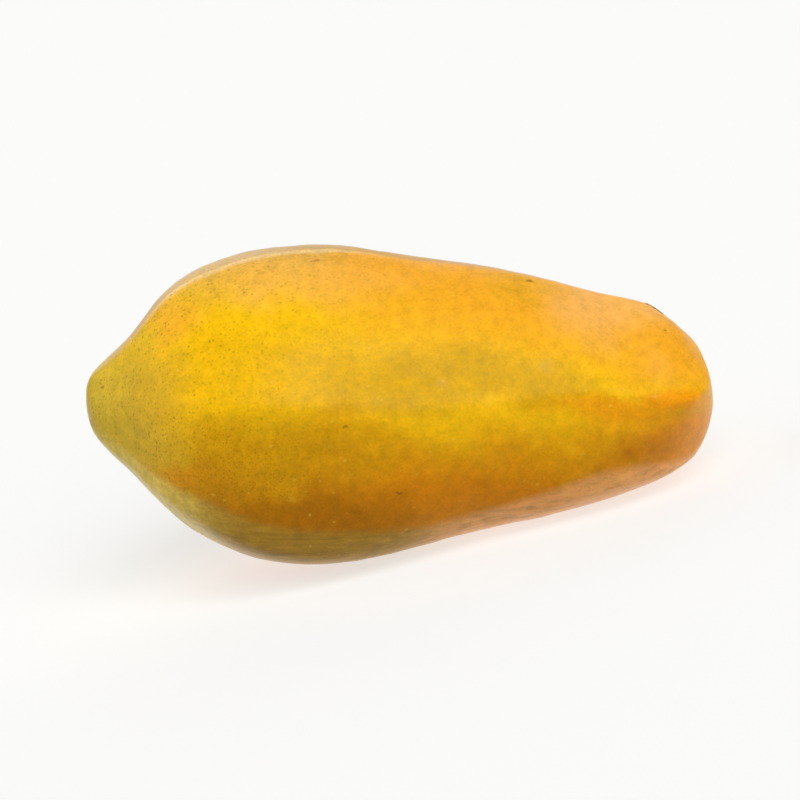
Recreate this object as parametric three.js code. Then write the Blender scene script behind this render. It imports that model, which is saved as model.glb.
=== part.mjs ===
// A ripe papaya of the long kind, lying on its side as it comes to rest.
// It grew as one piece, so it is one closed solid: a pear-like body with five blunt ridges,
// a rounded blossom tip at one end and a round stem scar on the slanted shoulder at the other.
// Lengths are millimetres, +Z is up and +X runs towards the stem end. The origin is the middle
// of the small flat spot it rests on, straight below its centre of mass.

import * as THREE from 'three';

// ---------------------------------------------------------------------------
// Driving dimensions
// ---------------------------------------------------------------------------

// Stations from the blossom tip to the stem scar, measured along and up from the tip with the
// long axis level. upper and lower are the points where the skin crosses the upright middle
// plane, half is half the depth across that plane and shift moves the section towards the near
// side. Over the stem shoulder the stations fan round, until both points meet at the scar.
const STATIONS = [
  { upper: [0, 1.5], lower: [0, 1.5], half: 0, shift: 0 },
  { upper: [1.5, 9], lower: [1, -6], half: 7.5, shift: 0 },
  { upper: [7, 16], lower: [5.5, -15.5], half: 16.5, shift: 0 },
  { upper: [17.5, 27], lower: [17, -27.5], half: 28, shift: 0 },
  { upper: [31.5, 43.5], lower: [31.5, -42], half: 43, shift: 0 },
  { upper: [48, 54], lower: [48, -54], half: 54, shift: 0 },
  { upper: [68, 60.5], lower: [68, -62], half: 61, shift: 0 },
  { upper: [91, 62.5], lower: [91, -64.5], half: 63, shift: 0 },
  { upper: [115, 60], lower: [116, -61.5], half: 61, shift: 0 },
  { upper: [140, 57], lower: [143, -55], half: 56.5, shift: 0 },
  { upper: [163.5, 53.5], lower: [171.5, -48], half: 51, shift: 0 },
  { upper: [183, 49.5], lower: [201, -40.5], half: 46.5, shift: -0.2 },
  { upper: [197, 45.5], lower: [225, -32], half: 41.5, shift: -0.4 },
  { upper: [206, 43], lower: [242.5, -21], half: 37, shift: -0.6 },
  { upper: [213.5, 41.5], lower: [250, -4], half: 31, shift: -0.8 },
  { upper: [218.5, 40.5], lower: [248, 12], half: 23.5, shift: -1 },
  { upper: [222.5, 39.5], lower: [242, 24.5], half: 16, shift: -1.2 },
  { upper: [225.5, 38], lower: [236, 30], half: 9, shift: -1.2 },
  { upper: [227, 37], lower: [231, 33.5], half: 3.5, shift: -1.2 },
  { upper: [228.5, 35.5], lower: [228.5, 35.5], half: 0, shift: -1.2 },
];
const LAST = STATIONS.length - 1;

// The five ridges, in order round the fruit. Angles are degrees round the section, from the near
// side up over the top, and softness is how far each crest is rounded off, in degrees. flat is how
// far the face after the ridge is flattened from round (0) to a straight chord (1). Each list
// gives values at places evenly spread from tip to stem, however many there are.
const RIDGES = [
  {
    angle: [0, 1, 2, 1, -3, -2, -46, -74, -78],
    softness: [7, 5, 3.5, 4.5, 7, 5, 2.2, 3, 7],
    flat: [0.2, 0.25, 0.25, 0.45, 0.3],
  },
  {
    angle: [44, 46, 57, 64, 69, 73, 76, 72, 66],
    softness: [6, 2.5, 3, 5, 7],
    flat: [0.3, 0.3, 0.22, 0.3, 0.25],
  },
  {
    angle: [132, 136, 141, 146, 150],
    softness: [8, 7, 9, 9, 8],
    flat: [0.25, 0.36, 0.38, 0.36, 0.25],
  },
  {
    angle: [222, 222, 209, 206, 210],
    softness: [8, 7, 9, 9, 8],
    flat: [0.4, 0.55, 0.35, 0.3, 0.2],
  },
  {
    angle: [302, 314, 317, 308, 299, 305, 258, 240, 238],
    softness: [7, 3.5, 3.5, 9, 12, 9, 8, 8, 8],
    flat: [0.2, 0.3, 0.15, 0.3, 0.2],
  },
];

// Shallow dents, by their place along the fruit and round it in degrees, with their half lengths
// along and across and their depth. The one of negative depth stands proud: it is the knuckle of
// the ridge that faces the near side.
const DENTS = [
  { along: 130, angle: 13, halfAlong: 13, halfAcross: 5.5, depth: 0.7 },
  { along: 146, angle: 9, halfAlong: 38, halfAcross: 8, depth: 1.3 },
  { along: 64, angle: 3, halfAlong: 36, halfAcross: 7.5, depth: -1.4 },
  { along: 84, angle: 175, halfAlong: 16, halfAcross: 9, depth: 1.0 },
  { along: 158, angle: 228, halfAlong: 12, halfAcross: 7, depth: 0.8 },
];

// The round scar that the stalk left: a sunken corky face, the lip round it and the shallow
// groove outside the lip. Heights are measured out from the shoulder.
const SCAR_FACE_RADIUS = 5.4;
const SCAR_FACE_DEPTH = 0.8;
const SCAR_LIP_RADIUS = 6.6;
const SCAR_LIP_HEIGHT = 0.6;
const SCAR_LIP_WIDTH = 1.2;
const SCAR_GROOVE_RADIUS = 9.5;
const SCAR_GROOVE_DEPTH = 0.6;
const SCAR_GROOVE_WIDTH = 2.0;

// The dry pit at the very tip, where the flower fell off.
const BLOSSOM_PIT_RADIUS = 2.2;
const BLOSSOM_PIT_DEPTH = 0.5;

// The two end shapes reach no further than this from their ends.
const END_REACH = 20;

// How the fruit lies, in degrees: rolled about its long axis, then tilted with the narrow stem
// end down. The flat spot is cut this far above the lowest point of the skin.
const REST_ROLL = 12.2;
const REST_TILT = 13.7;
const REST_CUT = 0.6;

// The facets: columns on each face between two ridges, drawn together at the ridges by CLUSTER,
// and rows in three stretches of stations, close at the tip and at the scar.
const FACE_COLUMNS = 13;
const CLUSTER = 0.35;
const ROW_STRETCHES = [
  { from: 0, to: 1, rows: 4 },
  { from: 1, to: 15.5, rows: 43 },
  { from: 15.5, to: LAST, rows: 19 },
];

// ---------------------------------------------------------------------------
// Smooth curves through chosen values
// ---------------------------------------------------------------------------

// Control points of the closed cubic B-spline that passes through the given points.
function controlPoints(points) {
  const count = points.length;
  let controls = points;
  for (let pass = 0; pass < 30; pass += 1) {
    const last = controls;
    controls = points.map((point, i) => point.map((value, k) => {
      const before = last[(i + count - 1) % count][k];
      const after = last[(i + 1) % count][k];
      return (6 * value - before - after) / 4;
    }));
  }
  return controls;
}

// The point of that B-spline at t, where whole numbers are the given points.
function splinePoint(controls, t) {
  const count = controls.length;
  const whole = Math.floor(t);
  const f = t - whole;
  const weights = [
    (1 - f) ** 3 / 6,
    (3 * f ** 3 - 6 * f ** 2 + 4) / 6,
    (-3 * f ** 3 + 3 * f ** 2 + 3 * f + 1) / 6,
    f ** 3 / 6,
  ];
  return controls[0].map((_, k) => weights.reduce((sum, weight, j) => {
    const control = controls[(whole + j - 1 + count) % count];
    return sum + weight * control[k];
  }, 0));
}

// A smooth curve through evenly spaced values, at s from 0 to 1.
function alongValues(values, s) {
  const x = THREE.MathUtils.clamp(s, 0, 1) * (values.length - 1);
  const i = Math.min(Math.floor(x), values.length - 2);
  const f = x - i;
  const a = values[Math.max(i - 1, 0)];
  const b = values[i];
  const c = values[i + 1];
  const d = values[Math.min(i + 2, values.length - 1)];
  const curve = (2 * a - 5 * b + 4 * c - d) * f * f + (3 * b - a - 3 * c + d) * f ** 3;
  return 0.5 * (2 * b + (c - a) * f + curve);
}

// ---------------------------------------------------------------------------
// The skin
// ---------------------------------------------------------------------------

// The outline of the middle plane is one closed curve: up over the top from the tip to the
// scar, and back along the underside. The depth runs out and back through the same stations,
// turned over on the way back so that both ends close roundly.
const back = STATIONS.slice(1, LAST).reverse();
const outline = controlPoints([
  ...STATIONS.map((station) => station.upper),
  ...back.map((station) => station.lower),
]);
const depths = controlPoints([
  ...STATIONS.map((station) => [station.half, station.shift]),
  ...back.map((station) => [-station.half, station.shift]),
]);

// A section of unit size at s from 0 to 1 along the fruit, as points round it: five ridges with
// faces between them, each partly flattened to its chord.
function sectionShape(s) {
  const points = [];
  RIDGES.forEach((ridge, i) => {
    const next = RIDGES[(i + 1) % RIDGES.length];
    const turn = i === RIDGES.length - 1 ? 360 : 0;
    const start = alongValues(ridge.angle, s);
    const gap = alongValues(next.angle, s) + turn - start;
    const half = THREE.MathUtils.degToRad(gap / 2);
    for (let column = 0; column < FACE_COLUMNS; column += 1) {
      const even = column / FACE_COLUMNS;
      const f = even - CLUSTER * Math.sin(2 * Math.PI * even) / (2 * Math.PI);
      const nearFirst = f < 0.5;
      const crest = THREE.MathUtils.degToRad(Math.min(f, 1 - f) * gap);
      const softness = alongValues(nearFirst ? ridge.softness : next.softness, s);
      const round = THREE.MathUtils.degToRad(softness);
      const softened = half * (Math.hypot(crest, round) - round) / (Math.hypot(half, round) - round);
      const chord = Math.cos(half) / Math.cos(half - softened);
      const radius = 1 - alongValues(ridge.flat, s) * (1 - chord);
      const angle = start + f * gap;
      const radians = THREE.MathUtils.degToRad(angle);
      points.push({ near: radius * Math.cos(radians), up: radius * Math.sin(radians), angle });
    }
  });
  return points;
}

function dentDepth(along, angle, radius) {
  return DENTS.reduce((sum, dent) => {
    const turn = THREE.MathUtils.euclideanModulo(angle - dent.angle + 180, 360) - 180;
    const across = THREE.MathUtils.degToRad(turn) * radius / dent.halfAcross;
    const lengthwise = (along - dent.along) / dent.halfAlong;
    return sum + dent.depth * Math.exp(-(lengthwise ** 2 + across ** 2));
  }, 0);
}

// The ring of skin points at station t, as [along, up, near].
function ring(t) {
  const shape = sectionShape(t / LAST);
  const ups = shape.map((point) => point.up);
  const nears = shape.map((point) => point.near);
  const lowUp = Math.min(...ups);
  const highUp = Math.max(...ups);
  const lowNear = Math.min(...nears);
  const highNear = Math.max(...nears);
  const upper = splinePoint(outline, t);
  const lower = splinePoint(outline, 2 * LAST - t);
  const [half, shift] = splinePoint(depths, t);
  const centre = new THREE.Vector3((upper[0] + lower[0]) / 2, (upper[1] + lower[1]) / 2, shift);
  return shape.map((point) => {
    const high = (point.up - lowUp) / (highUp - lowUp);
    const side = 2 * (point.near - lowNear) / (highNear - lowNear) - 1;
    const skin = new THREE.Vector3(
      THREE.MathUtils.lerp(lower[0], upper[0], high),
      THREE.MathUtils.lerp(lower[1], upper[1], high),
      shift + half * side,
    );
    const outward = skin.clone().sub(centre);
    const depth = dentDepth(skin.x, point.angle, outward.length());
    return skin.addScaledVector(outward.normalize(), -depth);
  });
}

// ---------------------------------------------------------------------------
// The scars at the two ends
// ---------------------------------------------------------------------------

// The outward direction at the end of the fruit at station t, square to the outline there. It is
// found from two points a hair's breadth either side of the end.
function endDirection(t) {
  const hair = 0.01;
  const before = splinePoint(outline, t - hair + (t < 1 ? 2 * LAST : 0));
  const after = splinePoint(outline, t + hair);
  return new THREE.Vector3(before[1] - after[1], after[0] - before[0], 0).normalize();
}

function stemScarHeight(radius) {
  const { smoothstep } = THREE.MathUtils;
  const face = 1 - smoothstep(radius, SCAR_FACE_RADIUS - SCAR_LIP_WIDTH, SCAR_LIP_RADIUS);
  const lip = Math.exp(-(((radius - SCAR_LIP_RADIUS) / SCAR_LIP_WIDTH) ** 2));
  const groove = Math.exp(-(((radius - SCAR_GROOVE_RADIUS) / SCAR_GROOVE_WIDTH) ** 2));
  return lip * SCAR_LIP_HEIGHT - face * SCAR_FACE_DEPTH - groove * SCAR_GROOVE_DEPTH;
}

function blossomPitHeight(radius) {
  return -BLOSSOM_PIT_DEPTH * Math.exp(-((radius / BLOSSOM_PIT_RADIUS) ** 2));
}

// Raises or sinks the skin round one end, by a height that depends on how far each point is
// from the line that passes out through that end.
function shapeEnd(points, station, heightAt) {
  const end = new THREE.Vector3(...station.upper, station.shift);
  const outward = endDirection(STATIONS.indexOf(station));
  points.forEach((point) => {
    const offset = point.clone().sub(end);
    const radius = offset.clone().cross(outward).length();
    if (offset.length() < END_REACH) {
      point.addScaledVector(outward, heightAt(radius));
    }
  });
}

// ---------------------------------------------------------------------------
// The closed solid, laid down to rest
// ---------------------------------------------------------------------------

// Rows of skin points between the two end points, joined by triangles that face out.
function buildSkin() {
  const stations = ROW_STRETCHES.flatMap(({ from, to, rows }) => (
    Array.from({ length: rows }, (_, i) => from + (to - from) * i / rows)
  )).slice(1);
  const tip = STATIONS[0];
  const stem = STATIONS[LAST];
  const points = [
    new THREE.Vector3(...tip.upper, tip.shift),
    ...stations.flatMap(ring),
    new THREE.Vector3(...stem.upper, stem.shift),
  ];
  shapeEnd(points, tip, blossomPitHeight);
  shapeEnd(points, stem, stemScarHeight);

  const columns = RIDGES.length * FACE_COLUMNS;
  const at = (row, column) => 1 + row * columns + column % columns;
  const triangles = [];
  for (let column = 0; column < columns; column += 1) {
    triangles.push(0, at(0, column), at(0, column + 1));
    for (let row = 0; row < stations.length - 1; row += 1) {
      const a = at(row, column);
      const b = at(row, column + 1);
      const c = at(row + 1, column + 1);
      const d = at(row + 1, column);
      triangles.push(a, c, b, a, d, c);
    }
    const end = stations.length - 1;
    triangles.push(points.length - 1, at(end, column + 1), at(end, column));
  }
  return { points, triangles };
}

// Turns the fruit from its level axis to the way it lies.
function layDown(points) {
  const roll = THREE.MathUtils.degToRad(REST_ROLL);
  const tilt = THREE.MathUtils.degToRad(REST_TILT);
  const alongLevel = new THREE.Vector3(1, 0, 0);
  const upLevel = new THREE.Vector3(0, Math.sin(roll), Math.cos(roll));
  const near = new THREE.Vector3(0, -Math.cos(roll), Math.sin(roll));
  const along = alongLevel.clone().multiplyScalar(Math.cos(tilt));
  along.addScaledVector(upLevel, -Math.sin(tilt));
  const up = alongLevel.multiplyScalar(Math.sin(tilt));
  up.addScaledVector(upLevel, Math.cos(tilt));
  const turn = new THREE.Matrix4().makeBasis(along, up, near);
  points.forEach((point) => point.applyMatrix4(turn));
}

// Flattens the lowest patch of skin to the plane z = 0.
function pressFlat(points) {
  const lowest = Math.min(...points.map((point) => point.z));
  points.forEach((point) => {
    point.z = Math.max(point.z - lowest - REST_CUT, 0);
  });
}

// The centre of mass of the closed solid, from the volumes of its cones to the origin.
function centreOfMass(points, triangles) {
  const centre = new THREE.Vector3();
  let volume = 0;
  for (let i = 0; i < triangles.length; i += 3) {
    const [a, b, c] = triangles.slice(i, i + 3).map((index) => points[index]);
    const cone = a.dot(b.clone().cross(c)) / 6;
    volume += cone;
    centre.addScaledVector(a.clone().add(b).add(c), cone / 4);
  }
  return centre.divideScalar(volume);
}

const { points, triangles } = buildSkin();
layDown(points);
pressFlat(points);
const centre = centreOfMass(points, triangles);

const geometry = new THREE.BufferGeometry().setFromPoints(points);
geometry.setIndex(triangles);
geometry.translate(-centre.x, -centre.y, 0);
geometry.computeVertexNormals();

const ripeSkin = new THREE.MeshStandardMaterial({
  color: '#e2a41c',
  roughness: 0.42,
  metalness: 0,
});

const fruit = new THREE.Mesh(geometry, ripeSkin);
fruit.name = 'papaya';

const papaya = new THREE.Group();
papaya.add(fruit);

export default papaya;
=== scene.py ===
import math

import bpy
import numpy as np
from mathutils import Matrix, Vector


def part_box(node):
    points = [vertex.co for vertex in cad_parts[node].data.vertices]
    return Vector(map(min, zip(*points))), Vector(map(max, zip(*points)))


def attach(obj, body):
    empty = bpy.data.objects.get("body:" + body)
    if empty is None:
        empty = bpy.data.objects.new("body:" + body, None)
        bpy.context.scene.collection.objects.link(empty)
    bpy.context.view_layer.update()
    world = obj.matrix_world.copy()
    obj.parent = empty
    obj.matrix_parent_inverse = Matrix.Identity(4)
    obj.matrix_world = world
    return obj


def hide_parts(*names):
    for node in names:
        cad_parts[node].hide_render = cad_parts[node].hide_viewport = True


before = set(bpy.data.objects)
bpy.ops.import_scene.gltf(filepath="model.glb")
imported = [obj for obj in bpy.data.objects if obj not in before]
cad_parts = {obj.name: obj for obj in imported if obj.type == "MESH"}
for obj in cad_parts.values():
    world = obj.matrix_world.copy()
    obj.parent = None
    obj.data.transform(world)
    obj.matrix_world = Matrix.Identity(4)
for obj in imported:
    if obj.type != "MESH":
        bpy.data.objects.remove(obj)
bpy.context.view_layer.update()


# ---------------------------------------------------------------------------
# Camera
# ---------------------------------------------------------------------------
# A long lens, as a studio uses for a fruit on a table. It looks straight at the fruit's near side,
# and is turned about its line of sight as far as the fruit is tilted, so that the fruit lies level
# in the view.

MM = 0.001  # metres
REST_ROLL = math.radians(12.2)  # how far the fruit is rolled about its long axis
REST_TILT = math.radians(13.7)  # how far its stem end hangs below its tip
VIEW_WIDTH = 320 * MM  # what the view takes in, at the fruit
LENS = 120.0  # mm
SENSOR = 36.0  # mm
AIM_ALONG = 2.1 * MM  # the view's middle, from the middle of the fruit's box
AIM_UP = -7.5 * MM

level = Vector((1, 0, 0))
level_up = Vector((0, math.sin(REST_ROLL), math.cos(REST_ROLL)))
near_axis = Vector((0, -math.cos(REST_ROLL), math.sin(REST_ROLL)))
along_axis = level * math.cos(REST_TILT) - level_up * math.sin(REST_TILT)
up_axis = level * math.sin(REST_TILT) + level_up * math.cos(REST_TILT)

box_low, box_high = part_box("papaya")
box_middle = (box_low + box_high) / 2
aim = box_middle + along_axis * AIM_ALONG + up_axis * AIM_UP

camera = bpy.data.objects.new("camera", bpy.data.cameras.new("camera"))
camera.data.lens = LENS
camera.data.sensor_width = SENSOR
placed = Matrix((along_axis, up_axis, near_axis)).transposed().to_4x4()
placed.translation = aim + near_axis * VIEW_WIDTH * LENS / SENSOR
camera.matrix_world = placed
bpy.context.scene.collection.objects.link(camera)
bpy.context.scene.camera = camera


# ---------------------------------------------------------------------------
# The papaya
# ---------------------------------------------------------------------------
# One whole ripe fruit, soft flesh under a thin waxy skin. It grew as five joined chambers, which
# show as five blunt ridges from the tip, where the flower was, to the scar of the stalk that it
# hung on. It lies loose, on a small flat spot.

# Its form is drawn over the same sections as the CAD solid's, with many more points, so that it is
# smooth and can carry the fine relief of skin.

# Each station: upper point (along, up), lower point (along, up), half depth, shift to the near
# side, in millimetres from the blossom tip.
STATIONS = np.array([
    (0, 1.5, 0, 1.5, 0, 0),
    (1.5, 9, 1, -6, 7.5, 0),
    (7, 16, 5.5, -15.5, 16.5, 0),
    (17.5, 27, 17, -27.5, 28, 0),
    (31.5, 43.5, 31.5, -42, 43, 0),
    (48, 54, 48, -54, 54, 0),
    (68, 60.5, 68, -62, 61, 0),
    (91, 62.5, 91, -64.5, 63, 0),
    (115, 60, 116, -61.5, 61, 0),
    (140, 57, 143, -55, 56.5, 0),
    (163.5, 53.5, 171.5, -48, 51, 0),
    (183, 49.5, 201, -40.5, 46.5, -0.2),
    (197, 45.5, 225, -32, 41.5, -0.4),
    (206, 43, 242.5, -21, 37, -0.6),
    (213.5, 41.5, 250, -4, 31, -0.8),
    (218.5, 40.5, 248, 12, 23.5, -1),
    (222.5, 39.5, 242, 24.5, 16, -1.2),
    (225.5, 38, 236, 30, 9, -1.2),
    (227, 37, 231, 33.5, 3.5, -1.2),
    (228.5, 35.5, 228.5, 35.5, 0, -1.2),
], float)
LAST = len(STATIONS) - 1

# Each ridge: angles round the section, how softly its crest is rounded and how flat the face
# after it is, from tip to stem. Angles are degrees, from the near side up and over.
RIDGES = [
    dict(
        angle=(0, 1, 2, 1, -3, -2, -46, -74, -78),
        softness=(7, 5, 3.5, 4.5, 7, 5, 2.2, 3, 7),
        flat=(0.2, 0.25, 0.25, 0.45, 0.3),
    ),
    dict(
        angle=(44, 46, 57, 64, 69, 73, 76, 72, 66),
        softness=(6, 2.5, 3, 5, 7),
        flat=(0.3, 0.3, 0.22, 0.3, 0.25),
    ),
    dict(
        angle=(132, 136, 141, 146, 150),
        softness=(8, 7, 9, 9, 8),
        flat=(0.25, 0.36, 0.38, 0.36, 0.25),
    ),
    dict(
        angle=(222, 222, 209, 206, 210),
        softness=(8, 7, 9, 9, 8),
        flat=(0.4, 0.55, 0.35, 0.3, 0.2),
    ),
    dict(
        angle=(302, 314, 317, 308, 299, 305, 258, 240, 238),
        softness=(7, 3.5, 3.5, 9, 12, 9, 8, 8, 8),
        flat=(0.2, 0.3, 0.15, 0.3, 0.2),
    ),
]

# Each dent: place along, place round, half length, half width and depth, in mm and degrees. One
# has a depth below 0, which is a swelling.
DENTS = [
    (130, 13, 13, 5.5, 0.7),
    (146, 9, 38, 8, 1.3),
    (64, 3, 36, 7.5, -1.4),
    (84, 175, 16, 9, 1.0),
    (158, 228, 12, 7, 0.8),
]

FACE_COLUMNS = 57  # points across each of the five faces
CLUSTER = 0.35  # how far they gather towards the ridges: 0 is evenly spread
ROW_STRETCHES = [(0, 1, 16), (1, 15.5, 225), (15.5, LAST, 90)]  # from station, to station, rows
SPLINE_SWEEPS = 30  # enough for the control points to settle
REST_CUT = 0.6  # mm of skin pressed flat where the fruit rests


def control_points(points):
    """Control points of the closed cubic B-spline that passes through the points."""
    controls = points
    for _ in range(SPLINE_SWEEPS):
        controls = (6 * points - np.roll(controls, 1, 0) - np.roll(controls, -1, 0)) / 4
    return controls


def spline(controls, t):
    """Points of that B-spline, where whole numbers of t are the points it passes through."""
    whole = np.floor(t).astype(int)
    f = t - whole
    weights = (
        (1 - f) ** 3 / 6,
        (3 * f**3 - 6 * f**2 + 4) / 6,
        (-3 * f**3 + 3 * f**2 + 3 * f + 1) / 6,
        f**3 / 6,
    )
    count = len(controls)
    return sum(w[:, None] * controls[(whole + k - 1) % count] for k, w in enumerate(weights))


def along_values(values, s):
    """A smooth curve through evenly spaced values, at s from 0 to 1, as a column."""
    values = np.array(values, float)
    last = len(values) - 1
    x = np.clip(s, 0, 1) * last
    i = np.minimum(x.astype(int), last - 1)
    f = x - i
    a, b = values[np.maximum(i - 1, 0)], values[i]
    c, d = values[i + 1], values[np.minimum(i + 2, last)]
    curve = (2 * a - 5 * b + 4 * c - d) * f**2 + (3 * b - a - 3 * c + d) * f**3
    return (0.5 * (2 * b + (c - a) * f + curve))[:, None]


def section_shapes(s):
    """Unit sections at each s: radius and angle of every column."""
    radii, angles = [], []
    even = np.arange(FACE_COLUMNS) / FACE_COLUMNS
    f = (even - CLUSTER * np.sin(2 * math.pi * even) / (2 * math.pi))[None, :]
    for i, ridge in enumerate(RIDGES):
        after = RIDGES[(i + 1) % len(RIDGES)]
        lap = 360 if i == len(RIDGES) - 1 else 0
        start = along_values(ridge["angle"], s)
        gap = along_values(after["angle"], s) + lap - start
        half = np.radians(gap / 2)
        crest = np.radians(np.minimum(f, 1 - f) * gap)
        first = along_values(ridge["softness"], s)
        second = along_values(after["softness"], s)
        soft = np.radians(np.where(f < 0.5, first, second))
        softened = half * (np.hypot(crest, soft) - soft) / (np.hypot(half, soft) - soft)
        chord = np.cos(half) / np.cos(half - softened)
        radii.append(1 - along_values(ridge["flat"], s) * (1 - chord))
        angles.append(start + f * gap)
    return np.hstack(radii), np.hstack(angles)


def skin_grid(t):
    """Rows of skin points as (along, up, near) in millimetres."""
    radius, angle = section_shapes(t / LAST)
    up = radius * np.sin(np.radians(angle))
    near = radius * np.cos(np.radians(angle))
    low, high = up.min(1, keepdims=True), up.max(1, keepdims=True)
    far, close = near.min(1, keepdims=True), near.max(1, keepdims=True)
    height = ((up - low) / (high - low))[..., None]
    side = 2 * (near - far) / (close - far) - 1

    upper, lower, depth = STATIONS[:, 0:2], STATIONS[:, 2:4], STATIONS[:, 4:6]
    outline = control_points(np.vstack([upper, lower[LAST - 1:0:-1]]))
    depths = control_points(np.vstack([depth, depth[LAST - 1:0:-1] * (-1, 1)]))
    top = spline(outline, t)[:, None]
    bottom = spline(outline, 2 * LAST - t)[:, None]
    half, shift = spline(depths, t).T[..., None]
    middle = bottom + (top - bottom) * height
    grid = np.concatenate([middle, (shift + half * side)[..., None]], -1)

    core = np.concatenate([(top + bottom) / 2, shift[..., None]], -1)
    outward = grid - core
    size = np.linalg.norm(outward, axis=-1)
    depth_here = np.zeros_like(size)
    for dent_along, dent_angle, long, wide, deep in DENTS:
        across = np.radians((angle - dent_angle + 180) % 360 - 180) * size / wide
        depth_here += deep * np.exp(-(((grid[..., 0] - dent_along) / long) ** 2) - across**2)
    return grid - outward * (depth_here / size)[..., None]


def row_stations():
    rows = [start + (end - start) * np.arange(n) / n for start, end, n in ROW_STRETCHES]
    return np.concatenate(rows)[1:]


grid = skin_grid(row_stations())
rows, columns = grid.shape[:2]
tip = np.array([STATIONS[0, 0], STATIONS[0, 1], STATIONS[0, 5]])
stem = np.array([STATIONS[LAST, 0], STATIONS[LAST, 1], STATIONS[LAST, 5]])
skin_points = np.vstack([tip, grid.reshape(-1, 3), stem])

steps = np.linalg.norm(np.roll(grid, -1, 1) - grid, axis=-1)
girth = steps.sum(1, keepdims=True)
around = np.cumsum(steps, 1) - steps


def past_ridge(ridge):
    """How far round the fruit every point lies past a ridge's crest, up to half way either way."""
    away = around - around[:, [ridge * FACE_COLUMNS]]
    return (away + girth / 2) % girth - girth / 2


def skin_faces():
    """Faces that join the rows to each other and the end rows to the two end points, facing out."""
    faces = []
    last = 1 + (rows - 1) * columns
    for column in range(columns):
        after = (column + 1) % columns
        faces.append((0, 1 + column, 1 + after))
        faces.append((last + columns, last + after, last + column))
        for row in range(rows - 1):
            here = 1 + row * columns
            there = here + columns
            faces.append((here + column, there + column, there + after, here + after))
    return faces


def outward_normals(points):
    """Outward unit normals of the skin, from its neighbours along and across the grid."""
    net = points[1:-1].reshape(rows, columns, 3)
    lengthwise = np.gradient(net, axis=0)
    across = np.roll(net, -1, 1) - np.roll(net, 1, 1)
    normals = np.cross(lengthwise, across).reshape(-1, 3)
    normals /= np.linalg.norm(normals, axis=1, keepdims=True)
    first = normals[:columns].mean(0)
    last = normals[-columns:].mean(0)
    ends = [end / np.linalg.norm(end) for end in (first, last)]
    return np.vstack([ends[0], normals, ends[1]])


normals = outward_normals(skin_points)

# The skin's bands of colour are measured from the crest of the top ridge, and from an edge that
# runs a little above the lowest near ridge: how high above it, by the place along, in mm.
TOP_RIDGE, LOWEST_NEAR_RIDGE = 1, 4
EDGE_ALONG = (0, 30, 55, 107, 132, 160, 200, 220, 240)
EDGE_ABOVE = (4, 8, 13, 13, 10, 11, 11, 8, 4)
past_edge = past_ridge(LOWEST_NEAR_RIDGE) - np.interp(grid[..., 0], EDGE_ALONG, EDGE_ABOVE)
past_both = np.stack([past_ridge(TOP_RIDGE), past_edge, np.zeros_like(past_edge)], -1)
past_both = past_both.reshape(-1, 3)
past_ridges = np.vstack([past_both[:columns].mean(0), past_both, past_both[-columns:].mean(0)])


def waves(points, wavelength, seed, count=36):
    """A smooth seeded field of about unit height, whose humps are about a wavelength apart."""
    random = np.random.default_rng(seed)
    directions = random.normal(size=(count, 3))
    directions /= np.linalg.norm(directions, axis=1, keepdims=True)
    lengths = wavelength * random.uniform(0.7, 1.4, count)
    starts = random.uniform(0, 2 * math.pi, count)
    total = np.zeros(len(points))
    for direction, length, start in zip(directions, lengths, starts):
        total += np.sin(points @ direction * 2 * math.pi / length + start)
    return total * math.sqrt(2 / count)


# The skin's own relief: slow swells as long as a thumb, dimples as wide as a fingertip over them
# and a faint pebbling. Each: height and wavelength in mm, and the seed that places it.
RELIEF = [(0.28, 48, 1), (0.07, 15, 2), (0.018, 5, 3)]
relief = sum(height * waves(skin_points, wavelength, seed) for height, wavelength, seed in RELIEF)

# The stalk's scar: a sunken corky face, a lip round it and a shallow groove outside the lip. The
# flower's is a small pit. All are in mm, from the middle of their end of the fruit.
SCAR_FACE_RADIUS = 5.4
SCAR_FACE_DEPTH = 0.8
SCAR_LIP_RADIUS = 6.6
SCAR_LIP_HEIGHT = 0.6
SCAR_LIP_WIDTH = 1.2
SCAR_GROOVE_RADIUS = 9.5
SCAR_GROOVE_DEPTH = 0.6
SCAR_GROOVE_WIDTH = 2.0
BLOSSOM_PIT_RADIUS = 2.2
BLOSSOM_PIT_DEPTH = 0.5
END_REACH = 20.0  # neither scar goes further


def smoothstep(x, low, high):
    f = np.clip((x - low) / (high - low), 0, 1)
    return f * f * (3 - 2 * f)


def stem_scar_height(radius):
    face = 1 - smoothstep(radius, SCAR_FACE_RADIUS - SCAR_LIP_WIDTH, SCAR_LIP_RADIUS)
    lip = np.exp(-(((radius - SCAR_LIP_RADIUS) / SCAR_LIP_WIDTH) ** 2))
    groove = np.exp(-(((radius - SCAR_GROOVE_RADIUS) / SCAR_GROOVE_WIDTH) ** 2))
    return lip * SCAR_LIP_HEIGHT - face * SCAR_FACE_DEPTH - groove * SCAR_GROOVE_DEPTH


def blossom_pit_height(radius):
    return -BLOSSOM_PIT_DEPTH * np.exp(-((radius / BLOSSOM_PIT_RADIUS) ** 2))


def end_shift(points, end, outward, height_at):
    """How far each point moves along the outward direction of one end."""
    offset = points - end
    radius = np.linalg.norm(np.cross(offset, outward), axis=1)
    close = np.linalg.norm(offset, axis=1) < END_REACH
    return np.where(close, height_at(radius), 0)[:, None] * outward


fine = skin_points + normals * relief[:, None]
tip_direction = normals[0] * (1, 1, 0)
tip_direction /= np.linalg.norm(tip_direction)
stem_direction = normals[-1] * (1, 1, 0)
stem_direction /= np.linalg.norm(stem_direction)
fine += end_shift(skin_points, tip, tip_direction, blossom_pit_height)
fine += end_shift(skin_points, stem, stem_direction, stem_scar_height)

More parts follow.
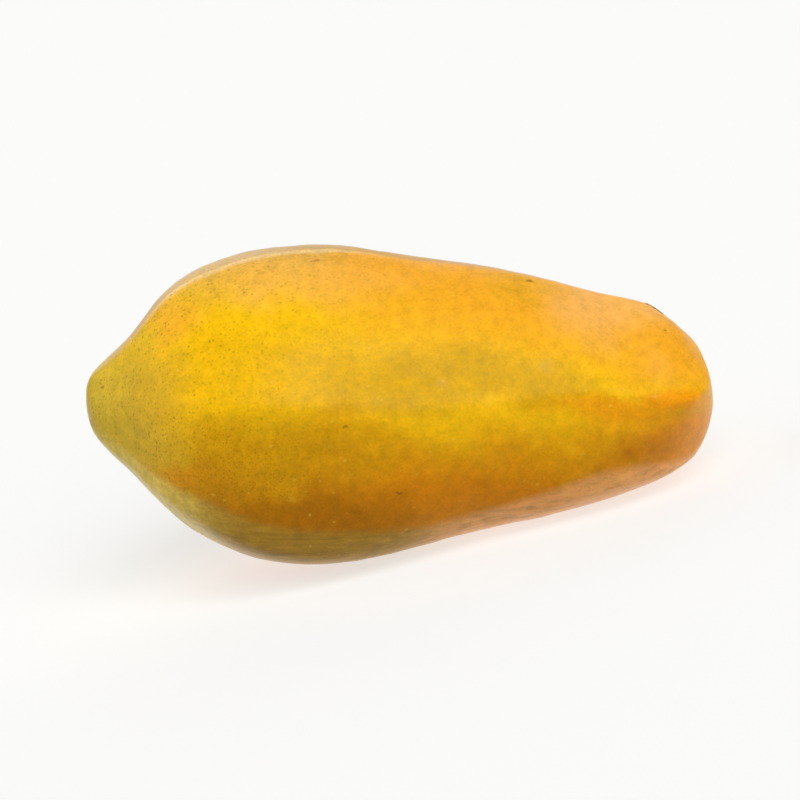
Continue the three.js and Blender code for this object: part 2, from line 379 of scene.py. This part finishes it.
# The fruit is laid down as in CAD, over the solid that it stands for.
fruit_axes = np.array([along_axis, up_axis, near_axis])
plain_world = skin_points * MM @ fruit_axes
laid_at = np.array(box_middle) - (plain_world.min(0) + plain_world.max(0)) / 2
laid_at[2] = -plain_world[:, 2].min() - REST_CUT * MM
fine_world = fine * MM @ fruit_axes + laid_at
fine_world[:, 2] = np.maximum(fine_world[:, 2], 0)

mesh = bpy.data.meshes.new("papaya_fruit")
mesh.from_pydata(fine_world.tolist(), [], skin_faces())
mesh.polygons.foreach_set("use_smooth", np.ones(len(mesh.polygons), bool))
grown = mesh.attributes.new("grown", "FLOAT_VECTOR", "POINT")
grown.data.foreach_set("vector", (skin_points * MM).ravel())
bands = mesh.attributes.new("past_ridges", "FLOAT_VECTOR", "POINT")
bands.data.foreach_set("vector", (past_ridges * MM).ravel())
mesh.update()
fruit = bpy.data.objects.new("papaya_fruit", mesh)
bpy.context.scene.collection.objects.link(fruit)


# Its skin is thin and smooth and grows with a bloom of wax, so that it has a satin sheen with wide
# soft highlights, and a little light goes through it.

def linear(colour):
    """A linear RGBA colour from an sRGB hex value such as #f2b416."""
    parts = [int(colour[i:i + 2], 16) / 255 for i in (1, 3, 5)]
    return [p / 12.92 if p <= 0.04045 else ((p + 0.055) / 1.055) ** 2.4 for p in parts] + [1]


def add(tree, kind, inputs=None, **settings):
    """Adds a node with its settings; each input is a value or the socket that feeds it."""
    made = tree.nodes.new(kind)
    for name, value in settings.items():
        setattr(made, name, value)
    for name, value in (inputs or {}).items():
        if isinstance(value, bpy.types.NodeSocket):
            tree.links.new(value, made.inputs[name])
        else:
            made.inputs[name].default_value = value
    return made


skin = bpy.data.materials.new("ripe_waxy_papaya_skin")
skin.use_nodes = True
tree = skin.node_tree
shader = tree.nodes["Principled BSDF"]
place = add(tree, "ShaderNodeAttribute", attribute_name="grown").outputs["Vector"]
FACTOR, UNDER, OVER = 0, 6, 7  # sockets of a Mix node that mixes colours
MIXED = 2


def ragged(size, reach):
    """The place on the fruit, pushed about by noise of one size, so that its bounds are ragged."""
    noise = add(tree, "ShaderNodeTexNoise", {
        "Vector": place, "Scale": 1 / size, "Detail": 4.0, "Roughness": 0.6,
    }).outputs["Color"]
    push = add(tree, "ShaderNodeVectorMath", {0: noise, 1: (0.5, 0.5, 0.5)},
               operation="SUBTRACT").outputs["Vector"]
    return add(tree, "ShaderNodeVectorMath", {0: push, 1: (2 * reach,) * 3, 2: place},
               operation="MULTIPLY_ADD").outputs["Vector"]


def oval(bounded, centre, half_sizes, edge, strength):
    """A mask: its strength within an oval on the skin, and 0 past its rim, fading from edge on.

    The oval's middle and half sizes are in mm. Its strength is a number or another mask.
    """
    offset = add(tree, "ShaderNodeVectorMath", {
        0: bounded, 1: [float(c) * MM for c in centre],
    }, operation="SUBTRACT").outputs["Vector"]
    scaled = add(tree, "ShaderNodeVectorMath", {
        0: offset, 1: [half * MM for half in half_sizes],
    }, operation="DIVIDE").outputs["Vector"]
    reach = add(tree, "ShaderNodeVectorMath", {0: scaled}, operation="LENGTH").outputs["Value"]
    return add(tree, "ShaderNodeMapRange", {
        "Value": reach, "From Min": 1.0, "From Max": edge, "To Max": strength,
    }, interpolation_type="SMOOTHSTEP").outputs["Result"]


# Ripening is uneven. Gold is the ground colour, and other colours lie over it in wide drifts.
# Some drifts are partly or wholly painted light instead, as the list marks.
GOLD = "#f8c006"
ORANGE = "#f9ad24"
DEEP_ORANGE = "#ee9508"
AMBER = "#e08a00"
BROWN_AND_TROUGH_SHADE = "#b67200"
OLIVE = "#d8b62c"
DULL_GOLD_AND_SHADE = "#dca804"
PALE_OLIVE_SHADE_AND_SHEEN = "#c89c3c"
PINK_SHEEN = "#ffb95c"
DULL_AMBER_AND_SHADE = "#c68800"
DEEP_AMBER_AND_SHADE = "#be7400"
DULL_OLIVE = "#bc9c28"
PATCH_SIZE = 30 * MM
PATCH_PUSH = 14 * MM

# Each drift: its colour, its middle and its half sizes along, up and near in mm, where its edge
# starts to fade and its strength.
DRIFTS = [
    (ORANGE, (175, 62, 0), (130, 60, 160), 0.45, 1.0),
    (ORANGE, (240, 26, 20), (50, 32, 80), 0.4, 1.0),
    # Painted sheen: a pale pink where the upper face reflects the light in its wax.
    (PINK_SHEEN, (206, 36, 20), (36, 20, 50), 0.2, 0.8),
    (DEEP_ORANGE, (262, -22, 0), (86, 34, 120), 0.4, 1.0),
    (AMBER, (145, -62, 0), (140, 66, 140), 0.5, 1.0),
    # Dull amber is partly the skin's own and partly painted shade, where the face turns down at and
    # below the middle ridge.
    (DULL_AMBER_AND_SHADE, (84, -18, 50), (62, 20, 60), 0.3, 0.65),
    (DULL_AMBER_AND_SHADE, (106, -3, 50), (24, 8, 40), 0.2, 0.5),
    (DULL_AMBER_AND_SHADE, (177, 0, 50), (18, 9, 50), 0.2, 0.45),
    # Deep amber is partly the skin's own and partly painted shade: below the middle ridge by the
    # stem, and low on the near face by the tip.
    (DEEP_AMBER_AND_SHADE, (218, -20, 35), (34, 14, 60), 0.2, 0.55),
    (DEEP_AMBER_AND_SHADE, (56, -31, 45), (28, 14, 40), 0.2, 0.55),
    # Painted shade over a browner skin, in the trough just above the lowest near ridge.
    (BROWN_AND_TROUGH_SHADE, (84, -48, 40), (68, 22, 80), 0.4, 0.85),
    (OLIVE, (-6, -4, 0), (74, 60, 60), 0.3, 1.0),
    (DULL_OLIVE, (28, -18, 30), (32, 18, 50), 0.2, 0.45),
    (DULL_OLIVE, (28, 8, 40), (26, 20, 50), 0.2, 0.4),
    # Dull gold is partly the skin's own and partly painted shade, mostly in the trough above the
    # middle ridge.
    (DULL_GOLD_AND_SHADE, (76, 12, 50), (76, 20, 50), 0.4, 0.45),
    (DULL_GOLD_AND_SHADE, (124, 4, 50), (34, 14, 40), 0.2, 0.9),
    (DULL_GOLD_AND_SHADE, (148, 12, 50), (40, 15, 40), 0.2, 0.95),
    (DULL_GOLD_AND_SHADE, (178, 8, 50), (36, 12, 50), 0.2, 0.9),
    (DULL_GOLD_AND_SHADE, (176, 46, 20), (26, 10, 40), 0.2, 0.4),
    # Painted shade and sheen: the top turns from the key light, so it is painted dimmer and paler.
    (PALE_OLIVE_SHADE_AND_SHEEN, (66, 64, 30), (66, 26, 60), 0.3, 0.8),
    (PALE_OLIVE_SHADE_AND_SHEEN, (36, 44, 30), (36, 20, 60), 0.3, 0.35),
    (ORANGE, (36, 33, 40), (18, 11, 40), 0.1, 0.6),
    (DEEP_ORANGE, (208, -2, 40), (36, 11, 50), 0.2, 0.7),
    (AMBER, (36, -29, 40), (20, 9, 40), 0.2, 0.6),
    # Painted sheen: a pale pink where the upper face reflects the light in its wax.
    (PINK_SHEEN, (88, 46, 30), (56, 16, 50), 0.2, 0.4),
    # Partly painted shade, in the trough above the middle ridge.
    (DULL_GOLD_AND_SHADE, (116, 10, 50), (30, 12, 40), 0.2, 0.5),
]
drifting = ragged(PATCH_SIZE, PATCH_PUSH)
colour = linear(GOLD)
for paint, centre, half_sizes, edge, strength in DRIFTS:
    mask = oval(drifting, centre, half_sizes, edge, strength)
    colour = add(tree, "ShaderNodeMix", {FACTOR: mask, UNDER: colour, OVER: linear(paint)},
                 data_type="RGBA").outputs[MIXED]

# The faces that turn away past the top ridge and under the lower edge are duller, each in a wide
# band that is drawn out into streaks along the fruit. The dullness is partly the skin's own and
# partly painted shade, as these faces turn from the light; the paler streaks and tints are
# painted sheen.
UNDERSIDE_DULL_AND_SHADE = "#b68e30"
UNDERSIDE_STEM_SHEEN = "#ffb468"
UNDERSIDE_TIP_SHEEN = "#e6ca5c"
TOP_SIDE_DULL_AND_SHADE = "#be8e16"
STREAK_LENGTH = 60 * MM
STREAK_WIDTH = 2 * MM
STREAK_PUSH = 4 * MM
STREAKS_DARK, STREAKS_LIGHT = 0.8, 1.2
NOISE_LOW, NOISE_HIGH = 0.3, 0.7  # most of a noise lies between these
PAST_TOP_RIDGE, PAST_LOWER_EDGE = "X", "Y"
measured = add(tree, "ShaderNodeSeparateXYZ", {
    "Vector": add(tree, "ShaderNodeAttribute", attribute_name="past_ridges").outputs["Vector"],
}).outputs
drawn_out = add(tree, "ShaderNodeVectorMath", {
    0: place, 1: (1 / STREAK_LENGTH, 1 / STREAK_WIDTH, 1 / STREAK_WIDTH),
}, operation="MULTIPLY").outputs["Vector"]
streaks = add(tree, "ShaderNodeTexNoise", {
    "Vector": drawn_out, "Scale": 1.0, "Detail": 3.0, "Roughness": 0.6,
}).outputs["Fac"]
streaked = add(tree, "ShaderNodeMapRange", {
    "Value": streaks, "From Min": NOISE_LOW, "From Max": NOISE_HIGH,
    "To Min": STREAKS_DARK, "To Max": STREAKS_LIGHT,
}).outputs["Result"]


def band(measure, start, full, fade, end, strength):
    """A mask over distances past a ridge in mm: rises from start to full, falls from fade to end.

    The streaks push its edges about. Its strength is another mask.
    """
    push = add(tree, "ShaderNodeMath", {0: streaks, 1: 0.5}, operation="SUBTRACT").outputs["Value"]
    pushed = add(tree, "ShaderNodeMath", {
        0: push, 1: STREAK_PUSH, 2: measured[measure],
    }, operation="MULTIPLY_ADD").outputs["Value"]
    mask = strength
    for nothing, everything in ((start, full), (end, fade)):
        mask = add(tree, "ShaderNodeMapRange", {
            "Value": pushed, "From Min": nothing * MM, "From Max": everything * MM, "To Max": mask,
        }, interpolation_type="SMOOTHSTEP").outputs["Result"]
    return mask


# The underside is painted pinker towards the stem and paler towards the tip: both tints are
# painted sheen, the pale floor reflected in the wax. Each: its colour, and the middle and half
# sizes of where it lies.
underside = linear(UNDERSIDE_DULL_AND_SHADE)
for paint, centre, half_sizes in (
    (UNDERSIDE_STEM_SHEEN, (210, -40, 0), (100, 80, 90)),
    (UNDERSIDE_TIP_SHEEN, (24, -40, 0), (58, 44, 70)),
):
    mask = oval(drifting, centre, half_sizes, edge=0.5, strength=1.0)
    underside = add(tree, "ShaderNodeMix", {FACTOR: mask, UNDER: underside, OVER: linear(paint)},
                    data_type="RGBA").outputs[MIXED]
streaked_underside_shade_and_sheen, streaked_top_side_shade_and_sheen = (
    add(tree, "ShaderNodeMix", {FACTOR: 1.0, UNDER: dull, OVER: streaked},
        data_type="RGBA", blend_type="MULTIPLY").outputs[MIXED]
    for dull in (underside, linear(TOP_SIDE_DULL_AND_SHADE))
)

# Neither band reaches the round tip or the stem's shoulder, and each keeps to its own side.
STEM_SHOULDER = 52  # mm from the stalk's scar
ROUND_TIP = 14  # mm from the flower's
UNDERSIDE_STRENGTH = 0.85
TOP_SIDE_STRENGTH = 0.7
at_stem, at_tip = (oval(drifting, end, (reach,) * 3, edge=0.4, strength=1.0)
                   for end, reach in ((stem, STEM_SHOULDER), (tip, ROUND_TIP)))
at_ends = add(tree, "ShaderNodeMath", {0: at_stem, 1: at_tip}, operation="MAXIMUM").outputs["Value"]
below_between_ends, above_between_ends = (
    add(tree, "ShaderNodeMath", {0: at_ends, 1: -strength, 2: strength},
        operation="MULTIPLY_ADD").outputs["Value"]
    for strength in (UNDERSIDE_STRENGTH, TOP_SIDE_STRENGTH)
)
# The band under the lower edge: painted shade and painted sheen, over a duller skin.
lower_half = oval(drifting, (120, -70, 0), (260, 110, 200), edge=0.8, strength=below_between_ends)
under_shade_and_sheen_band = band(PAST_LOWER_EDGE, 2, -4, -30, -60, strength=lower_half)
# The band past the top ridge: painted shade over a duller skin, with pale streaks of painted sheen.
belly_top = oval(drifting, (80, 50, 0), (110, 70, 90), edge=0.6, strength=above_between_ends)
top_shade_and_sheen_band = band(PAST_TOP_RIDGE, -1.5, 3, 10, 32, strength=belly_top)

# A pale line along the crest of the top ridge is a painted highlight, where the crest catches the
# light.
CREST_HIGHLIGHT = "#ecc67c"
crest_highlight_part = oval(drifting, (60, 50, 30), (76, 50, 50), edge=0.5, strength=0.75)
painted_crest_highlight = band(PAST_TOP_RIDGE, -2.5, -0.5, 0.5, 2.5, strength=crest_highlight_part)

# A bright orange is painted where the middle ridge ends by the stem: a painted highlight along its
# crest.
RIDGE_END_HIGHLIGHT = "#f79c06"
RIDGE_END_HIGHLIGHT_PATCH = 6 * MM
RIDGE_END_HIGHLIGHT_PUSH = 4 * MM
ridge_end_highlight = oval(ragged(RIDGE_END_HIGHLIGHT_PATCH, RIDGE_END_HIGHLIGHT_PUSH), (234, 1, 34), (22, 5.5, 20),
                 edge=0.2, strength=0.85)

# Over the drifts go the bands of painted shade and sheen, the painted crest highlight and the
# painted ridge-end highlight.
for mask, paint in (
    (under_shade_and_sheen_band, streaked_underside_shade_and_sheen),
    (top_shade_and_sheen_band, streaked_top_side_shade_and_sheen),
    (painted_crest_highlight, linear(CREST_HIGHLIGHT)),
    (ridge_end_highlight, linear(RIDGE_END_HIGHLIGHT)),
):
    colour = add(tree, "ShaderNodeMix", {FACTOR: mask, UNDER: colour, OVER: paint},
                 data_type="RGBA").outputs[MIXED]

# Mottling and the grain of the skin's cells lighten and darken it a little. Real cells are several
# times finer than this grain, which is as coarse as it needs to be to show.
MOTTLE_SIZE = 5 * MM
GRAIN_SIZE = 1.1 * MM
NOISE_LOWEST, NOISE_HIGHEST = 0.25, 0.75  # nearly all of a noise lies between these
mottle = add(tree, "ShaderNodeTexNoise", {
    "Vector": place, "Scale": 1 / MOTTLE_SIZE, "Detail": 4.0, "Roughness": 0.6,
}).outputs["Fac"]
grain = add(tree, "ShaderNodeTexNoise", {
    "Vector": place, "Scale": 1 / GRAIN_SIZE, "Detail": 3.0, "Roughness": 0.7,
}).outputs["Fac"]
for pattern, dark, light in ((mottle, 0.85, 1.12), (grain, 0.86, 1.13)):
    shade = add(tree, "ShaderNodeMapRange", {
        "Value": pattern, "From Min": NOISE_LOWEST, "From Max": NOISE_HIGHEST,
        "To Min": dark, "To Max": light,
    }).outputs["Result"]
    colour = add(tree, "ShaderNodeMix", {FACTOR: 1.0, UNDER: colour, OVER: shade},
                 data_type="RGBA", blend_type="MULTIPLY").outputs[MIXED]

# Dots of any kind are pushed off their places: how far, against their spacing, and how many
# pushes there are to each spacing.
DOT_PUSH = 0.35
PUSHES = 1.5


def dots(spacing, core, rim, rarity, strength=1.0):
    """A mask of round dots of mixed strength over the skin, one to a cell of the given spacing.

    Each dot fades from core to rim, in cells. The rarity is the share of cells that have none.
    """
    noise = add(tree, "ShaderNodeTexNoise", {
        "Vector": place, "Scale": PUSHES / spacing, "Detail": 1.0,
    }).outputs["Color"]
    wobbly = add(tree, "ShaderNodeVectorMath", {
        0: noise, 1: (DOT_PUSH * spacing,) * 3, 2: place,
    }, operation="MULTIPLY_ADD").outputs["Vector"]
    cells = add(tree, "ShaderNodeTexVoronoi", {"Vector": wobbly, "Scale": 1 / spacing})
    chance = add(tree, "ShaderNodeSeparateColor", {"Color": cells.outputs["Color"]}).outputs["Red"]
    kept = add(tree, "ShaderNodeMapRange", {
        "Value": chance, "From Min": rarity, "From Max": 1.0, "To Max": strength,
    }).outputs["Result"]
    return add(tree, "ShaderNodeMapRange", {
        "Value": cells.outputs["Distance"], "From Min": rim, "From Max": core, "To Max": kept,
    }, interpolation_type="SMOOTHSTEP").outputs["Result"]


# Pores: soft olive specks, thick on the tip half and sparse towards the stem. Low on the tip half
# and at the tip itself there are finer brown ones. Real pores are as fine or finer: these are as
# coarse as they need to be to show. Few show on the band of painted shade and sheen under the
# lower edge.
SPECK = "#94680a"
SPECK_SPACING = 1.6 * MM
SPARSE = 0.06
FLECK = "#865800"
FLECK_SPACING = 1.0 * MM
specks = dots(SPECK_SPACING, core=0.05, rim=0.5, rarity=0.2)
flecks = dots(FLECK_SPACING, core=0.1, rim=0.6, rarity=0.3)
tip_half = oval(drifting, (0, 0, 0), (180, 120, 120), edge=0.4, strength=0.65)
thick = add(tree, "ShaderNodeMath", {0: tip_half, 1: SPARSE}, operation="ADD").outputs["Value"]
low_tip_half = oval(drifting, (58, -22, 45), (64, 26, 60), edge=0.2, strength=0.6)
tip_itself = oval(drifting, (8, 2, 10), (26, 20, 40), edge=0.2, strength=0.35)
clear = add(tree, "ShaderNodeMath", {0: 1.0, 1: under_shade_and_sheen_band}, operation="SUBTRACT").outputs["Value"]
coats = []  # what lies on the skin, in order: each a mask and its colour
for pores, where, paint in (
    (specks, thick, SPECK), (flecks, low_tip_half, FLECK), (flecks, tip_itself, FLECK),
):
    for part in (where, clear):
        pores = add(tree, "ShaderNodeMath", {0: pores, 1: part},
                    operation="MULTIPLY").outputs["Value"]
    coats.append((pores, paint))

# Lenticels: pale breathing spots, wider apart.
LENTICEL = "#ffd85a"
LENTICEL_SPACING = 4.6 * MM
lenticels = dots(LENTICEL_SPACING, core=0.06, rim=0.2, rarity=0.35, strength=0.35)
coats.append((lenticels, LENTICEL))

# Rubs, nicks and leftover patches. Each: its colour, its place along and up and its half length
# and half height in mm, where its edge starts to fade and its strength.
MARKS = [
    ("#8a4f18", 176, 47.6, 2.4, 0.6, 0.4, 0.7),
    ("#a8622e", 92, 54.5, 3.0, 0.6, 0.3, 0.6),
    ("#6f4f08", 104.5, -9.6, 1.4, 0.8, 0.4, 0.6),
    ("#7a4a0c", 124, -34.4, 1.8, 0.8, 0.4, 0.6),
    ("#8a7a35", 229, 28.4, 1.3, 0.6, 0.4, 0.7),
    ("#e0ac50", 181.4, 13.6, 4.8, 4.8, 0.0, 0.4),
    ("#e0ac50", 141, 7.4, 4.6, 3.0, 0.0, 0.35),
    ("#e8a828", 84.6, -37.2, 2.6, 2.0, 0.0, 0.5),
    ("#b05c06", 213.4, -19.6, 4.0, 3.0, 0.0, 0.5),
    ("#b86608", 223, -19, 3.4, 2.6, 0.0, 0.4),
    ("#7a5a30", 8.6, 5.6, 1.3, 1.1, 0.3, 0.6),
]
MARK_PATCH = 2.5 * MM
MARK_PUSH = 1.5 * MM
MARK_DEPTH = 1.5  # how far a mark goes into the skin, against its longer side
jagged = ragged(MARK_PATCH, MARK_PUSH)


def near_side(along_mm, up_mm):
    """The skin point on the near side at a place along and up, in mm."""
    away = np.hypot(skin_points[:, 0] - along_mm, skin_points[:, 1] - up_mm)
    away[normals[:, 2] < 0.05] = np.inf
    return skin_points[np.argmin(away)]


for paint, mark_along, mark_up, long, high, edge, strength in MARKS:
    half_sizes = (long, high, max(long, high) * MARK_DEPTH)
    mask = oval(jagged, near_side(mark_along, mark_up), half_sizes, edge, strength)
    coats.append((mask, paint))

# The stalk's scar is dry brown cork, darker in its middle and dark at its cracked rim; the
# flower's is a dark dry dot.
CORK_RIM = "#6e4620"
CORK = "#a97c4c"
CORK_DARK = "#6b4424"
TIP_DOT = "#5e4220"
RIM_END = SCAR_LIP_RADIUS + 1.8
CORK_END = SCAR_LIP_RADIUS - 0.8
DARK_END = 0.6 * CORK_END
for paint, end, radius, edge, strength in (
    (CORK_RIM, stem, RIM_END, 0.8, 0.9),
    (CORK, stem, CORK_END, 0.7, 0.95),
    (CORK_DARK, stem, DARK_END, 0.3, 0.7),
    (TIP_DOT, tip, BLOSSOM_PIT_RADIUS, 0.3, 0.8),
):
    coats.append((oval(jagged, end, (radius,) * 3, edge, strength), paint))

for mask, paint in coats:
    colour = add(tree, "ShaderNodeMix", {FACTOR: mask, UNDER: colour, OVER: linear(paint)},
                 data_type="RGBA").outputs[MIXED]
tree.links.new(colour, shader.inputs["Base Color"])

# The wax is duller where the skin is mottled, and the cork has none.
WAXY, DULLER = 0.34, 0.46
CORK_ROUGHER = 0.4
waxed = add(tree, "ShaderNodeMapRange", {
    "Value": mottle, "From Min": NOISE_LOW, "From Max": NOISE_HIGH,
    "To Min": WAXY, "To Max": DULLER,
}).outputs["Result"]
corky = oval(jagged, stem, (RIM_END,) * 3, edge=0.8, strength=CORK_ROUGHER)
rough = add(tree, "ShaderNodeMath", {0: corky, 1: waxed}, operation="ADD").outputs["Value"]
tree.links.new(rough, shader.inputs["Roughness"])
shader.inputs["IOR"].default_value = 1.45
shader.inputs["Specular IOR Level"].default_value = 0.1
shader.inputs["Sheen Weight"].default_value = 0.15
shader.inputs["Sheen Roughness"].default_value = 0.25
shader.inputs["Subsurface Weight"].default_value = 0.12
shader.inputs["Subsurface Radius"].default_value = (1.0, 0.45, 0.08)
shader.inputs["Subsurface Scale"].default_value = 3 * MM

# Pores are sunk a few hundredths of a millimetre and the grain stands as little proud.
PORE_SINK = -0.3
FINE_RELIEF = 0.08 * MM
sunk = add(tree, "ShaderNodeMath", {0: specks, 1: PORE_SINK, 2: grain},
           operation="MULTIPLY_ADD").outputs["Value"]
bumpy = add(tree, "ShaderNodeBump", {
    "Height": sunk, "Strength": 0.5, "Distance": FINE_RELIEF,
}).outputs["Normal"]
tree.links.new(bumpy, shader.inputs["Normal"])
mesh.materials.append(skin)

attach(fruit, "root")
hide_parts("papaya")


# ---------------------------------------------------------------------------
# Floor and light
# ---------------------------------------------------------------------------
# The fruit lies on a wide sheet of matt white paper. A large softbox stands high in front of it,
# and a dim room with white walls and a glow from behind and below fill in its shadows.

FLOOR_HALF = 12.0  # metres
floor_mesh = bpy.data.meshes.new("floor")
corners = [(-FLOOR_HALF, -FLOOR_HALF, 0), (FLOOR_HALF, -FLOOR_HALF, 0),
           (FLOOR_HALF, FLOOR_HALF, 0), (-FLOOR_HALF, FLOOR_HALF, 0)]
floor_mesh.from_pydata(corners, [], [(0, 1, 2, 3)])
floor = bpy.data.objects.new("floor", floor_mesh)
bpy.context.scene.collection.objects.link(floor)

# Unglazed paper: it shows soft shadows and no glare, and here it is lit from within as well, so
# that it stays pale.
PAPER_WHITE = "#a4a4a2"
PAPER_GLOW = 0.62
paper = bpy.data.materials.new("matt_white_paper")
paper.use_nodes = True
matt = paper.node_tree.nodes["Principled BSDF"]
matt.inputs["Base Color"].default_value = linear(PAPER_WHITE)
matt.inputs["Roughness"].default_value = 0.9
matt.inputs["Specular IOR Level"].default_value = 0.0
matt.inputs["Emission Color"].default_value = (1, 1, 1, 1)
matt.inputs["Emission Strength"].default_value = PAPER_GLOW
floor_mesh.materials.append(paper)

# The floor neither sends light up on to the fruit nor hides it from the glow behind and below, so
# that the underside is dim but not black.
floor.visible_diffuse = False
floor.visible_shadow = False

# Soft lights. Each: its name, where it stands (along, up and near, as on the fruit), how wide it
# looks from the fruit in degrees, and its strength. The rim strip shines in the wax alone.
LIGHTS = [
    ("softbox_key", (0.08, 0.5, 0.86), 50, 2.98),
    ("table_glow", (-0.1, -0.66, -0.74), 70, 2.3),
    ("right_wall", (0.92, -0.32, -0.25), 60, 1.5),
    ("left_wall", (-1.0, 0.15, 0.1), 60, 1.1),
    ("back_wall", (0.0, 0.5, -0.86), 70, 1.2),
    ("rim_strip", (-0.35, 0.72, -0.6), 50, 1.2),
]
for name, (light_along, light_up, light_near), width, strength in LIGHTS:
    light = bpy.data.objects.new(name, bpy.data.lights.new(name, "SUN"))
    light.data.energy = strength
    light.data.angle = math.radians(width)
    stands = along_axis * light_along + up_axis * light_up + near_axis * light_near
    light.rotation_euler = stands.to_track_quat("Z", "Y").to_euler()
    light.visible_diffuse = name != "rim_strip"
    bpy.context.scene.collection.objects.link(light)

# A little white light comes from everywhere else.
ROOM_FILL = 0.06
world = bpy.data.worlds.new("white_room")
world.use_nodes = True
room = world.node_tree
room.nodes["Background"].inputs["Strength"].default_value = ROOM_FILL
room.nodes["Background"].inputs["Color"].default_value = (1, 1, 1, 1)
bpy.context.scene.world = world
bpy.context.scene.view_settings.view_transform = "Standard"
